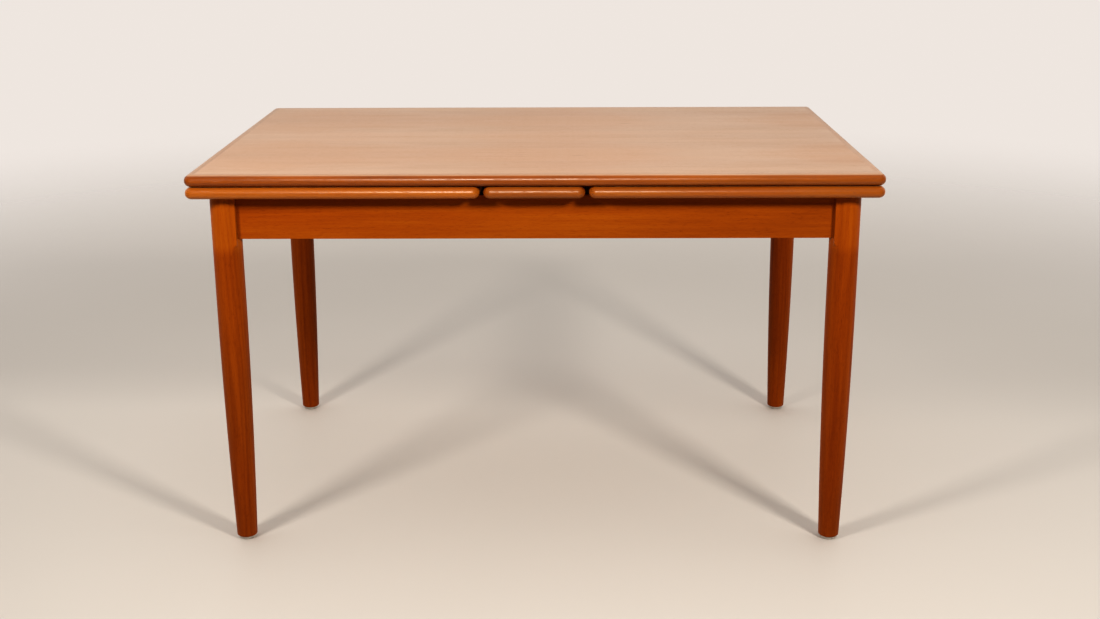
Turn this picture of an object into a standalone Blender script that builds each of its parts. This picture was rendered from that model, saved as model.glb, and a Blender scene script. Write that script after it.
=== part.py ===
"""Draw-leaf dining table: round turned legs, a loose top over two pull-out leaves and a fixed centre board.

World frame: metres, +Z up, origin on the floor under the middle of the table.
X runs along the length: the left leaf draws out along -X and the right leaf along +X.
Y runs from front (-) to back (+).
"""

import math

import bmesh
import bpy
from mathutils import Matrix, Vector

# ---------------------------------------------------------------- driving dimensions (metres)
TOP_LENGTH = 1.270
TOP_WIDTH = 0.856
TABLE_HEIGHT = 0.735
TOP_THICKNESS = 0.022
LEAF_THICKNESS = 0.0215
FRAME_HEIGHT = 0.690

JOINT_GAP = 0.0003
EDGE_WIDTH = 0.018
CORNER_RADIUS = 0.013
CORNER_STEPS = 4
NOSE_RESOLUTION = 4

CENTRE_BOARD_LENGTH = 0.185
LEAF_END_GAP = 0.007
LEAF_TRAVEL = 0.540
TOP_LIFT = 0.030

LEG_INSET_X = 0.061
LEG_INSET_Y = 0.057
LEG_RADIUS = 0.0275
LEG_TAPER = 0.0082
TAPER_START = 0.500
FOOT_ROUNDING = 0.003
HEAD_CHEEK = 0.0235
HEAD_SHOULDER = 0.0225
HEAD_TOP_DROP = 0.0001
HEAD_DROP = 0.009
COVE_HEIGHT = 0.011
COVE_RADIUS = 0.0144
COVE_START_DEPTH = 0.004

GLIDE_HEIGHT = 0.006
GLIDE_RADIUS = 0.0155
GLIDE_CHAMFER = 0.002
NAIL_RADIUS = 0.0018
NAIL_LENGTH = 0.018

APRON_OUTER = 0.014
APRON_INNER = 0.008
APRON_HEIGHT = 0.082
APRON_EDGE = 0.0015

CROSS_RAIL_X = 0.087
CROSS_RAIL_THICKNESS = 0.030
CROSS_RAIL_HEIGHT = 0.078
CROSS_RAIL_NOTCH = 0.050

BEARER_WIDTH = 0.022
BEARER_HEIGHT = 0.034
BEARER_TAIL_X = 0.500
BEARER_NOSE_X = 0.600
BEARER_CLEARANCE = 0.001
BEARER_Y = {"left": 0.250, "right": 0.200}
STOP_PEG_RADIUS = 0.004
STOP_PEG_DROP = 0.013
STOP_PEG_CHAMFER = 0.0008

BLOCK_NEAR = 0.050
BLOCK_FAR = 0.088
BLOCK_HEIGHT = 0.056
BOLT_RADIUS = 0.0035
BOLT_INNER_REACH = 0.012
BOLT_OUTER_REACH = 0.083
BOLT_HOLE_CLEARANCE = 0.001
BOLT_CHAMFER = 0.001
WASHER_RADIUS = 0.010
WASHER_THICKNESS = 0.0016
WASHER_OVERLAP = 0.0005
NUT_RADIUS = 0.0075
NUT_THICKNESS = 0.0065
NUT_SIDES = 6

LOCATING_PEG_RADIUS = 0.006
LOCATING_PEG_X = 0.040
LOCATING_PEG_Y = 0.310
LOCATING_PEG_ENGAGEMENT = 0.012
LOCATING_PEG_SOCKET = 0.012
LOCATING_PEG_CHAMFER = 0.0015
LOCATING_HOLE_CLEARANCE = 0.001

FELT_RADIUS = 0.010
FELT_X = 0.050
FELT_Y = 0.200
FELT_RECESS = 0.002

LEG_STEPS = 24
PIN_STEPS = 16
TAPER_STEPS = 9
FOOT_STEPS = 3
COVE_STEPS = 4
SMOOTH_ANGLE = math.radians(35)
WELD_DISTANCE = 0.00001
CUTTER_MARGIN = 0.05

# ---------------------------------------------------------------- derived places
LEG_X = TOP_LENGTH / 2 - LEG_INSET_X
LEG_Y = TOP_WIDTH / 2 - LEG_INSET_Y
APRON_BOTTOM = FRAME_HEIGHT - APRON_HEIGHT
LEAF_BOTTOM = FRAME_HEIGHT + JOINT_GAP
LEAF_TOP = LEAF_BOTTOM + LEAF_THICKNESS
TOP_BOTTOM = TABLE_HEIGHT - TOP_THICKNESS
LEAF_INNER_X = CENTRE_BOARD_LENGTH / 2 + LEAF_END_GAP
BEARER_TOP = LEAF_BOTTOM - JOINT_GAP
BEARER_BOTTOM = BEARER_TOP - BEARER_HEIGHT
END_APRON_INNER_X = LEG_X - APRON_INNER
STOP_PEG_X = END_APRON_INNER_X - LEAF_TRAVEL - STOP_PEG_RADIUS - JOINT_GAP
LOCATING_PEG_DROP = TOP_LIFT + LOCATING_PEG_ENGAGEMENT
BOLT_CUT_END = BOLT_OUTER_REACH + CUTTER_MARGIN

SIDES_X = (("left", -1), ("right", 1))
SIDES_Y = (("front", -1), ("back", 1))

MATERIALS = {
    "teak_veneer": ((0.44, 0.23, 0.12), 0.42, 0.0),
    "teak_solid": ((0.32, 0.05, 0.005), 0.38, 0.0),
    "beech": ((0.58, 0.38, 0.21), 0.55, 0.0),
    "steel": ((0.55, 0.55, 0.54), 0.35, 1.0),
    "nylon": ((0.55, 0.54, 0.50), 0.45, 0.0),
    "felt": ((0.16, 0.12, 0.09), 0.95, 0.0),
}


# ---------------------------------------------------------------- scene helpers
def clear_scene():
    for obj in list(bpy.data.objects):
        bpy.data.objects.remove(obj, do_unlink=True)


def make_collection(name):
    collection = bpy.data.collections.new(name)
    bpy.context.scene.collection.children.link(collection)
    return collection


def make_material(name, color, roughness, metallic):
    material = bpy.data.materials.new(name)
    material.use_nodes = True
    shader = material.node_tree.nodes["Principled BSDF"]
    shader.inputs["Base Color"].default_value = (*color, 1.0)
    shader.inputs["Roughness"].default_value = roughness
    shader.inputs["Metallic"].default_value = metallic
    return material


def joint_empty(name, location):
    empty = bpy.data.objects.new(name, None)
    empty.location = location
    PARTS.objects.link(empty)
    return empty


def place(name, mesh, slot, parent=None, location=(0, 0, 0), angle=0.0):
    """Put a mesh in the world at location, turned about +Z, and parent it without moving it."""
    obj = bpy.data.objects.new(name, mesh)
    PARTS.objects.link(obj)
    obj.data.materials.append(make_material(f"{name}_{slot}", *MATERIALS[slot]))
    offset = parent.location if parent else Vector((0, 0, 0))
    obj.parent = parent
    obj.location = Vector(location) - offset
    obj.rotation_euler = (0, 0, angle)
    return obj


def make_cutter(name, mesh, matrix=Matrix.Identity(4)):
    obj = bpy.data.objects.new(name, mesh)
    obj.matrix_world = matrix
    obj.hide_render = True
    obj.display_type = "WIRE"
    CUTTERS.objects.link(obj)
    return obj


def boolean(obj, cutter, operation):
    modifier = obj.modifiers.new(f"{operation.lower()}_{cutter.name}", "BOOLEAN")
    modifier.operation = operation
    modifier.solver = "EXACT"
    modifier.object = cutter


def smooth(mesh):
    mesh.shade_smooth()
    mesh.set_sharp_from_angle(angle=SMOOTH_ANGLE)
    return mesh


# ---------------------------------------------------------------- mesh builders
def mesh_from(bm, name):
    mesh = bpy.data.meshes.new(name)
    bm.to_mesh(mesh)
    bm.free()
    return mesh


def box_mesh(name, low, high, edge=0.0):
    """A box between two corners, its edges eased by a one-segment bevel where edge is given."""
    bm = bmesh.new()
    bmesh.ops.create_cube(bm, size=1.0)
    size = [b - a for a, b in zip(low, high)]
    middle = [(a + b) / 2 for a, b in zip(low, high)]
    bmesh.ops.scale(bm, vec=size, verts=bm.verts)
    bmesh.ops.translate(bm, vec=middle, verts=bm.verts)
    if edge:
        bmesh.ops.bevel(bm, geom=bm.edges[:], offset=edge, segments=1, affect="EDGES")
    return mesh_from(bm, name)


def outline_mesh(name, outline, middle_z, extrude=0.0, bevel=0.0):
    """A solid to both sides of a flat outline: straight by extrude, or half round by bevel."""
    curve = bpy.data.curves.new(name, "CURVE")
    curve.dimensions = "2D"
    curve.fill_mode = "BOTH"
    curve.extrude = extrude
    curve.bevel_depth = bevel
    curve.bevel_resolution = NOSE_RESOLUTION
    spline = curve.splines.new("POLY")
    spline.points.add(len(outline) - 1)
    for point, (x, y) in zip(spline.points, outline):
        point.co = (x, y, 0.0, 1.0)
    spline.use_cyclic_u = True
    guide = bpy.data.objects.new(name, curve)
    CUTTERS.objects.link(guide)
    graph = bpy.context.evaluated_depsgraph_get()
    mesh = bpy.data.meshes.new_from_object(guide.evaluated_get(graph))
    bpy.data.objects.remove(guide, do_unlink=True)
    bm = bmesh.new()
    bm.from_mesh(mesh)
    bmesh.ops.remove_doubles(bm, verts=bm.verts, dist=WELD_DISTANCE)
    bmesh.ops.translate(bm, vec=(0, 0, middle_z), verts=bm.verts)
    bmesh.ops.recalc_face_normals(bm, faces=bm.faces)
    bm.to_mesh(mesh)
    bm.free()
    return mesh


def prism_mesh(name, outline, low_z, high_z):
    """A flat outline extruded from low_z to high_z."""
    return outline_mesh(name, outline, (low_z + high_z) / 2, extrude=(high_z - low_z) / 2)


def rod_mesh(name, radius, low_z, high_z, steps=PIN_STEPS, chamfer=0.0):
    """A round rod on the Z axis, its two end edges chamfered where chamfer is given."""
    outline = [(0.0, high_z), (radius - chamfer, high_z)]
    if chamfer:
        outline += [(radius, high_z - chamfer), (radius, low_z + chamfer)]
    outline += [(radius - chamfer, low_z), (0.0, low_z)]
    return turned_mesh(name, outline, steps)


def turned_mesh(name, outline, steps):
    """A solid turned about Z from (radius, height) points that run from the top down the outer side."""
    guide = bpy.data.objects.new(f"{name}_profile", bpy.data.meshes.new(f"{name}_profile"))
    points = [(radius, 0.0, height) for radius, height in outline]
    edges = [(index, index + 1) for index in range(len(points) - 1)]
    guide.data.from_pydata(points, edges, [])
    CUTTERS.objects.link(guide)
    screw = guide.modifiers.new("turn", "SCREW")
    screw.axis = "Z"
    screw.steps = steps
    screw.render_steps = steps
    screw.use_merge_vertices = True
    screw.merge_threshold = WELD_DISTANCE
    graph = bpy.context.evaluated_depsgraph_get()
    mesh = bpy.data.meshes.new_from_object(guide.evaluated_get(graph))
    mesh.name = name
    bpy.data.objects.remove(guide, do_unlink=True)
    return smooth(mesh)


def arc_points(centre, radius, start, end, count):
    """Points on an arc, angles in degrees from +X."""
    angles = [math.radians(start + (end - start) * index / count) for index in range(count + 1)]
    return [(centre[0] + radius * math.cos(a), centre[1] + radius * math.sin(a)) for a in angles]


# ---------------------------------------------------------------- bullnosed boards
def board_mesh(name, low, high):
    """A board with a full half-round edge all round and rounded corners in plan."""
    half = (high[2] - low[2]) / 2
    corner = CORNER_RADIUS - half
    centres = (
        (high[0] - CORNER_RADIUS, high[1] - CORNER_RADIUS, 0),
        (low[0] + CORNER_RADIUS, high[1] - CORNER_RADIUS, 90),
        (low[0] + CORNER_RADIUS, low[1] + CORNER_RADIUS, 180),
        (high[0] - CORNER_RADIUS, low[1] + CORNER_RADIUS, 270),
    )
    outline = []
    for x, y, start in centres:
        outline += arc_points((x, y), corner, start, start + 90, CORNER_STEPS)
    return smooth(outline_mesh(name, outline, (low[2] + high[2]) / 2, bevel=half))


def edge_regions(low, high):
    """Plan outlines of a board's veneered panel and of its four mitred solid edges."""
    x0, y0, x1, y1 = low[0], low[1], high[0], high[1]
    reach = CUTTER_MARGIN
    width = EDGE_WIDTH
    mitre = JOINT_GAP * math.sqrt(2)
    inset = width + JOINT_GAP
    panel = [
        (x0 + inset, y0 + inset),
        (x1 - inset, y0 + inset),
        (x1 - inset, y1 - inset),
        (x0 + inset, y1 - inset),
    ]
    front = [
        (x0 - reach + mitre, y0 - reach),
        (x1 + reach - mitre, y0 - reach),
        (x1 - width - mitre, y0 + width),
        (x0 + width + mitre, y0 + width),
    ]
    back = [
        (x1 + reach - mitre, y1 + reach),
        (x0 - reach + mitre, y1 + reach),
        (x0 + width + mitre, y1 - width),
        (x1 - width - mitre, y1 - width),
    ]
    left = [
        (x0 - reach, y1 + reach),
        (x0 - reach, y0 - reach),
        (x0 + width, y0 + width),
        (x0 + width, y1 - width),
    ]
    right = [
        (x1 + reach, y0 - reach),
        (x1 + reach, y1 + reach),
        (x1 - width, y1 - width),
        (x1 - width, y0 + width),
    ]
    return {"panel": panel, "edge_front": front, "edge_back": back, "edge_left": left, "edge_right": right}


def make_board(name, low, high, parent=None):
    """The panel and four mitred edges of one board, each a node of its own."""
    whole = board_mesh(name, low, high)
    pieces = {}
    for part, outline in edge_regions(low, high).items():
        slot = "teak_veneer" if part == "panel" else "teak_solid"
        piece = place(f"{name}_{part}", whole.copy(), slot, parent)
        title = f"{name}_{part}_region"
        region = prism_mesh(title, outline, low[2] - CUTTER_MARGIN, high[2] + CUTTER_MARGIN)
        boolean(piece, make_cutter(title, region), "INTERSECT")
        pieces[part] = piece
    return pieces


# ---------------------------------------------------------------- legs and frame
def leg_outline():
    """(radius, height) down the turned leg, from its top to the blind hole for the glide's nail."""
    foot = GLIDE_HEIGHT
    points = [(0.0, FRAME_HEIGHT), (LEG_RADIUS, FRAME_HEIGHT)]
    bottom = foot + FOOT_ROUNDING
    for index in range(TAPER_STEPS + 1):
        height = TAPER_START + (bottom - TAPER_START) * index / TAPER_STEPS
        points.append((leg_radius(height), height))
    centre = (leg_radius(bottom) - FOOT_ROUNDING, bottom)
    points += arc_points(centre, FOOT_ROUNDING, 0, -90, FOOT_STEPS)[1:]
    hole = NAIL_RADIUS + JOINT_GAP
    hole_top = foot + NAIL_LENGTH + 2 * JOINT_GAP
    points += [(hole, foot), (hole, hole_top), (0.0, hole_top)]
    return points


def leg_radius(height):
    """Constant down to TAPER_START, then a parabola that slims the leg towards the foot."""
    fall = max(0.0, 1.0 - height / TAPER_START)
    return LEG_RADIUS - LEG_TAPER * fall * fall


def head_outline():
    """(radius, height) of the turned shoulder that leaves the squared head under the aprons."""
    cove_low = APRON_BOTTOM - HEAD_DROP - COVE_HEIGHT
    centre_radius = LEG_RADIUS + COVE_RADIUS
    sweep = math.degrees(math.asin(COVE_HEIGHT / COVE_RADIUS))
    cove = arc_points((centre_radius, cove_low), COVE_RADIUS, 180, 180 - sweep, COVE_STEPS)
    wide = HEAD_SHOULDER * 2
    inside = LEG_RADIUS - COVE_START_DEPTH
    points = [(0.0, FRAME_HEIGHT), (wide, FRAME_HEIGHT), (wide, cove[-1][1])]
    points += reversed(cove[1:])
    points += [(inside, cove_low - COVE_START_DEPTH), (0.0, cove_low - COVE_START_DEPTH)]
    return points


def corner_angle(sign_x, sign_y):
    """Turn about +Z that brings local +X and +Y of a front-left corner to point into the table."""
    return {(-1, -1): 0.0, (1, -1): math.pi / 2, (1, 1): math.pi, (-1, 1): -math.pi / 2}[(sign_x, sign_y)]


def leg_mesh():
    """A leg at the origin: its head is squared towards +X and +Y and cut to a flat for the apron on each."""
    leg = make_cutter("leg_blank", turned_mesh("leg_blank", leg_outline(), LEG_STEPS))
    head = make_cutter("leg_head", turned_mesh("leg_head", head_outline(), LEG_STEPS))
    outline = [
        (HEAD_SHOULDER, -HEAD_CHEEK),
        (HEAD_SHOULDER, HEAD_SHOULDER),
        (-HEAD_CHEEK, HEAD_SHOULDER),
        (-HEAD_CHEEK, 0.0),
        (0.0, -HEAD_CHEEK),
    ]
    square = prism_mesh("leg_square", outline, APRON_BOTTOM - CUTTER_MARGIN, FRAME_HEIGHT - HEAD_TOP_DROP)
    boolean(head, make_cutter("leg_square", square), "INTERSECT")
    boolean(leg, head, "UNION")
    far = HEAD_SHOULDER + CUTTER_MARGIN
    seat = APRON_BOTTOM - JOINT_GAP
    end = FRAME_HEIGHT + CUTTER_MARGIN
    flat_x = box_mesh("flat_x", (HEAD_SHOULDER, -far, seat), (far, far, end))
    flat_y = box_mesh("flat_y", (-far, HEAD_SHOULDER, seat), (far, far, end))
    for flat in (flat_x, flat_y):
        boolean(leg, make_cutter(flat.name, flat), "DIFFERENCE")
    bolt_hole = rod_mesh("bolt_hole", BOLT_RADIUS + JOINT_GAP, BOLT_INNER_REACH - JOINT_GAP, BOLT_CUT_END)
    boolean(leg, make_cutter("bolt_hole", bolt_hole, bolt_matrix()), "DIFFERENCE")
    graph = bpy.context.evaluated_depsgraph_get()
    mesh = bpy.data.meshes.new_from_object(leg.evaluated_get(graph))
    for obj in (leg, head):
        bpy.data.objects.remove(obj, do_unlink=True)
    return smooth(mesh)


def bolt_matrix():
    """Turns the Z axis onto the corner's diagonal at the height of the bolt."""
    height = FRAME_HEIGHT - APRON_HEIGHT / 2
    lay_down = Matrix.Rotation(math.pi / 2, 4, "Y")
    turn = Matrix.Rotation(math.pi / 4, 4, "Z")
    return Matrix.Translation((0, 0, height)) @ turn @ lay_down


def glide_outline():
    top = GLIDE_HEIGHT - JOINT_GAP
    nail_top = GLIDE_HEIGHT + NAIL_LENGTH
    return [
        (0.0, nail_top),
        (NAIL_RADIUS, nail_top - NAIL_RADIUS),
        (NAIL_RADIUS, top),
        (GLIDE_RADIUS, top),
        (GLIDE_RADIUS, GLIDE_CHAMFER),
        (GLIDE_RADIUS - GLIDE_CHAMFER, 0.0),
        (0.0, 0.0),
    ]


def block_mesh():
    """Corner block of a front-left corner: a slanted beam between the two aprons, drilled for the bolt."""
    near = BLOCK_NEAR
    far = BLOCK_FAR
    face = APRON_INNER + JOINT_GAP
    middle = FRAME_HEIGHT - APRON_HEIGHT / 2
    outline = [(near, face), (far, face), (face, far), (face, near)]
    blank = prism_mesh("block", outline, middle - BLOCK_HEIGHT / 2, middle + BLOCK_HEIGHT / 2)
    block = make_cutter("block", blank)
    hole = rod_mesh("block_hole", BOLT_RADIUS + BOLT_HOLE_CLEARANCE, BOLT_INNER_REACH, BOLT_CUT_END)
    boolean(block, make_cutter("block_hole", hole, bolt_matrix()), "DIFFERENCE")
    graph = bpy.context.evaluated_depsgraph_get()
    mesh = bpy.data.meshes.new_from_object(block.evaluated_get(graph))
    bpy.data.objects.remove(block, do_unlink=True)
    return mesh


def bolt_mesh():
    """Hanger bolt with its washer and hexagon nut, along the corner's diagonal."""
    far_face = (BLOCK_FAR + APRON_INNER + JOINT_GAP) / math.sqrt(2) + JOINT_GAP
    washer_end = far_face + WASHER_THICKNESS
    nut_end = washer_end + NUT_THICKNESS
    shank = rod_mesh("shank", BOLT_RADIUS, BOLT_INNER_REACH, BOLT_OUTER_REACH, chamfer=BOLT_CHAMFER)
    rod = make_cutter("rod", shank)
    washer = rod_mesh("washer", WASHER_RADIUS, far_face, washer_end + WASHER_OVERLAP)
    nut = rod_mesh("nut", NUT_RADIUS, washer_end, nut_end, steps=NUT_SIDES)
    for name, mesh in (("washer", washer), ("nut", nut)):
        boolean(rod, make_cutter(name, mesh), "UNION")
    graph = bpy.context.evaluated_depsgraph_get()
    mesh = bpy.data.meshes.new_from_object(rod.evaluated_get(graph))
    bpy.data.objects.remove(rod, do_unlink=True)
    mesh.transform(bolt_matrix())
    return smooth(mesh)


def make_corners():
    leg = leg_mesh()
    glide = turned_mesh("glide", glide_outline(), LEG_STEPS)
    block = block_mesh()
    bolt = bolt_mesh()
    kinds = (
        ("leg", leg, "teak_solid"),
        ("glide", glide, "nylon"),
        ("corner_block", block, "beech"),
        ("corner_bolt", bolt, "steel"),
    )
    for name_y, sign_y in SIDES_Y:
        for name_x, sign_x in SIDES_X:
            spot = (sign_x * LEG_X, sign_y * LEG_Y, 0)
            for kind, mesh, slot in kinds:
                name = f"{kind}_{name_y}_{name_x}"
                place(name, mesh.copy(), slot, None, spot, corner_angle(sign_x, sign_y))


def make_long_aprons():
    reach = LEG_X - HEAD_SHOULDER - JOINT_GAP
    for name, sign in SIDES_Y:
        faces = sorted((sign * (LEG_Y - APRON_INNER), sign * (LEG_Y + APRON_OUTER)))
        low = (-reach, faces[0], APRON_BOTTOM)
        high = (reach, faces[1], FRAME_HEIGHT)
        place(f"apron_{name}", box_mesh(f"apron_{name}", low, high, APRON_EDGE), "teak_solid")


def notch(obj, x, y, depth, reach):
    """Cut a notch, open at the top, that lets one bearer through a rail across it."""
    half = BEARER_WIDTH / 2 + BEARER_CLEARANCE
    low = (x - reach, y - half, FRAME_HEIGHT - depth)
    high = (x + reach, y + half, FRAME_HEIGHT + CUTTER_MARGIN)
    name = f"{obj.name}_notch_{len(obj.modifiers)}"
    boolean(obj, make_cutter(name, box_mesh(name, low, high)), "DIFFERENCE")


def make_end_aprons():
    reach = LEG_Y - HEAD_SHOULDER - JOINT_GAP
    for name, sign in SIDES_X:
        faces = sorted((sign * (LEG_X - APRON_INNER), sign * (LEG_X + APRON_OUTER)))
        low = (faces[0], -reach, APRON_BOTTOM)
        high = (faces[1], reach, FRAME_HEIGHT)
        apron = place(f"apron_{name}", box_mesh(f"apron_{name}", low, high, APRON_EDGE), "teak_solid")
        for sign_y in (-1, 1):
            y = sign_y * BEARER_Y[name]
            notch(apron, sign * LEG_X, y, BEARER_HEIGHT + BEARER_CLEARANCE, 2 * APRON_OUTER)


def make_cross_rails():
    reach = LEG_Y - APRON_INNER - JOINT_GAP
    for name, sign in SIDES_X:
        x = sign * CROSS_RAIL_X
        low = (x - CROSS_RAIL_THICKNESS / 2, -reach, FRAME_HEIGHT - CROSS_RAIL_HEIGHT)
        high = (x + CROSS_RAIL_THICKNESS / 2, reach, FRAME_HEIGHT)
        rail = place(f"cross_rail_{name}", box_mesh(f"cross_rail_{name}", low, high, APRON_EDGE), "beech")
        for bearer_y in BEARER_Y.values():
            for sign_y in (-1, 1):
                notch(rail, x, sign_y * bearer_y, CROSS_RAIL_NOTCH, CROSS_RAIL_THICKNESS)


# ---------------------------------------------------------------- centre board, leaves and top
def peg_places(x, y):
    return [
        (f"{name_y}_{name_x}", sign_x * x, sign_y * y)
        for name_y, sign_y in SIDES_Y
        for name_x, sign_x in SIDES_X
    ]


def drill(obj, name, radius, x, y, low_z, high_z):
    cutter = make_cutter(name, rod_mesh(name, radius, low_z, high_z), Matrix.Translation((x, y, 0)))
    boolean(obj, cutter, "DIFFERENCE")


def make_centre_board():
    half = CENTRE_BOARD_LENGTH / 2
    low = (-half, -TOP_WIDTH / 2, LEAF_BOTTOM)
    high = (half, TOP_WIDTH / 2, LEAF_TOP)
    board = make_board("centre_board", low, high)
    for corner, x, y in peg_places(LOCATING_PEG_X, LOCATING_PEG_Y):
        radius = LOCATING_PEG_RADIUS + LOCATING_HOLE_CLEARANCE
        ends = (LEAF_BOTTOM - CUTTER_MARGIN, LEAF_TOP + CUTTER_MARGIN)
        drill(board["panel"], f"centre_board_hole_{corner}", radius, x, y, *ends)


def make_leaf(name, sign):
    joint = joint_empty(f"{name}_leaf_draw", (sign * LEAF_INNER_X, 0, LEAF_BOTTOM))
    ends = sorted((sign * LEAF_INNER_X, sign * TOP_LENGTH / 2))
    low = (ends[0], -TOP_WIDTH / 2, LEAF_BOTTOM)
    high = (ends[1], TOP_WIDTH / 2, LEAF_TOP)
    make_board(f"{name}_leaf", low, high, joint)
    for name_y, sign_y in SIDES_Y:
        y = sign_y * BEARER_Y[name]
        ends = sorted((-sign * BEARER_TAIL_X, sign * BEARER_NOSE_X))
        corner_low = (ends[0], y - BEARER_WIDTH / 2, BEARER_BOTTOM)
        corner_high = (ends[1], y + BEARER_WIDTH / 2, BEARER_TOP)
        title = f"{name}_leaf_bearer_{name_y}"
        bearer = place(title, box_mesh(title, corner_low, corner_high, APRON_EDGE), "beech", joint)
        x = sign * STOP_PEG_X
        hole_ends = (BEARER_BOTTOM - CUTTER_MARGIN, BEARER_TOP + CUTTER_MARGIN)
        drill(bearer, f"{title}_hole", STOP_PEG_RADIUS + JOINT_GAP, x, y, *hole_ends)
        low_z = BEARER_BOTTOM - STOP_PEG_DROP
        high_z = BEARER_TOP - APRON_EDGE
        peg = rod_mesh("stop_peg", STOP_PEG_RADIUS, low_z, high_z, chamfer=STOP_PEG_CHAMFER)
        place(f"{name}_leaf_stop_peg_{name_y}", peg, "beech", joint, (x, y, 0))


def make_top():
    joint = joint_empty("top_lift", (0, 0, TOP_BOTTOM))
    low = (-TOP_LENGTH / 2, -TOP_WIDTH / 2, TOP_BOTTOM)
    high = (TOP_LENGTH / 2, TOP_WIDTH / 2, TABLE_HEIGHT)
    top = make_board("top", low, high, joint)
    cut_start = TOP_BOTTOM - CUTTER_MARGIN
    socket_top = TOP_BOTTOM + LOCATING_PEG_SOCKET
    socket_radius = LOCATING_PEG_RADIUS + JOINT_GAP
    for corner, x, y in peg_places(LOCATING_PEG_X, LOCATING_PEG_Y):
        drill(top["panel"], f"top_socket_{corner}", socket_radius, x, y, cut_start, socket_top)
        ends = (TOP_BOTTOM - LOCATING_PEG_DROP, socket_top - JOINT_GAP)
        peg = rod_mesh("locating_peg", LOCATING_PEG_RADIUS, *ends, chamfer=LOCATING_PEG_CHAMFER)
        place(f"locating_peg_{corner}", peg, "beech", joint, (x, y, 0))
    recess_top = TOP_BOTTOM + FELT_RECESS
    recess_radius = FELT_RADIUS + JOINT_GAP
    for corner, x, y in peg_places(FELT_X, FELT_Y):
        drill(top["panel"], f"top_felt_recess_{corner}", recess_radius, x, y, cut_start, recess_top)
        felt = rod_mesh("felt_pad", FELT_RADIUS, LEAF_TOP + JOINT_GAP, recess_top - JOINT_GAP, LEG_STEPS)
        place(f"felt_pad_{corner}", felt, "felt", joint, (x, y, 0))


# ---------------------------------------------------------------- build
clear_scene()
PARTS = make_collection("draw_leaf_table")
CUTTERS = make_collection("cutters")
make_corners()
make_long_aprons()
make_end_aprons()
make_cross_rails()
make_centre_board()
for side, direction in SIDES_X:
    make_leaf(side, direction)
make_top()
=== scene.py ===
"""Looks of the draw-leaf table: fine meshes, wood materials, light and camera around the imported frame."""

import math

import bmesh
import bpy
from mathutils import Euler, Matrix, Vector


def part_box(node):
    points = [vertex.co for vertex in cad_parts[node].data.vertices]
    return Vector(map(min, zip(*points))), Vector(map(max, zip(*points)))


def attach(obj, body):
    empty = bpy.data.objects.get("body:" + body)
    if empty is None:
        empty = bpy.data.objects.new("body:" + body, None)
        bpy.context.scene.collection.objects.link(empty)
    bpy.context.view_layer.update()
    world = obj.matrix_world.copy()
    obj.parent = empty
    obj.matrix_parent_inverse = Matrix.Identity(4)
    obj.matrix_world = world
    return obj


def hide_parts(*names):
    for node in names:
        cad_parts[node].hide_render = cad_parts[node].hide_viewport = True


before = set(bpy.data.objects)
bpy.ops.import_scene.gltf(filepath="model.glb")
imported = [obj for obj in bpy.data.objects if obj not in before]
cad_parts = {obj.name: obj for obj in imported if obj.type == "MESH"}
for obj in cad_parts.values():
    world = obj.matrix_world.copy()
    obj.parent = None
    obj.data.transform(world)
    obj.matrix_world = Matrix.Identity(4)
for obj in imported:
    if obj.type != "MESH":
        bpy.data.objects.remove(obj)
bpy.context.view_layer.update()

MM = 0.001

# ---------------------------------------------------------------- camera, light and floor
CAMERA_PLACE = (0.05635, -2.97867, 1.22502)
CAMERA_PITCH = math.radians(16.207)
CAMERA_YAW = math.radians(0.640)
CAMERA_ROLL = math.radians(-0.256)
CAMERA_LENS = 47.08
SENSOR_WIDTH = 36.0

KEYS = (
    ("left", (-1.45, -1.75, 1.66), 11.7),
    ("right", (1.70, -2.35, 1.95), 20.3),
)
KEY_TARGET = (0.0, 0.0, 0.95)
KEY_SIZE = 0.42
KEY_SPREAD = math.radians(110)
KEY_COLOR = (1.0, 0.93, 0.84)
STRIP_PLACE = (-0.20, -3.30, 2.10)
STRIP_SIZE = (0.9, 0.32)
STRIP_POWER = 68.0
BACKDROP_COLOR = (0.613, 0.573, 0.543)
WALL_GLOW = (0.76, 0.72, 0.68)
ROOM_GLOW = (0.04, 0.035, 0.03)
FLOOR_SIZE = 30.0
FLOOR_FADE = (1.5, 5.0)


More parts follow.
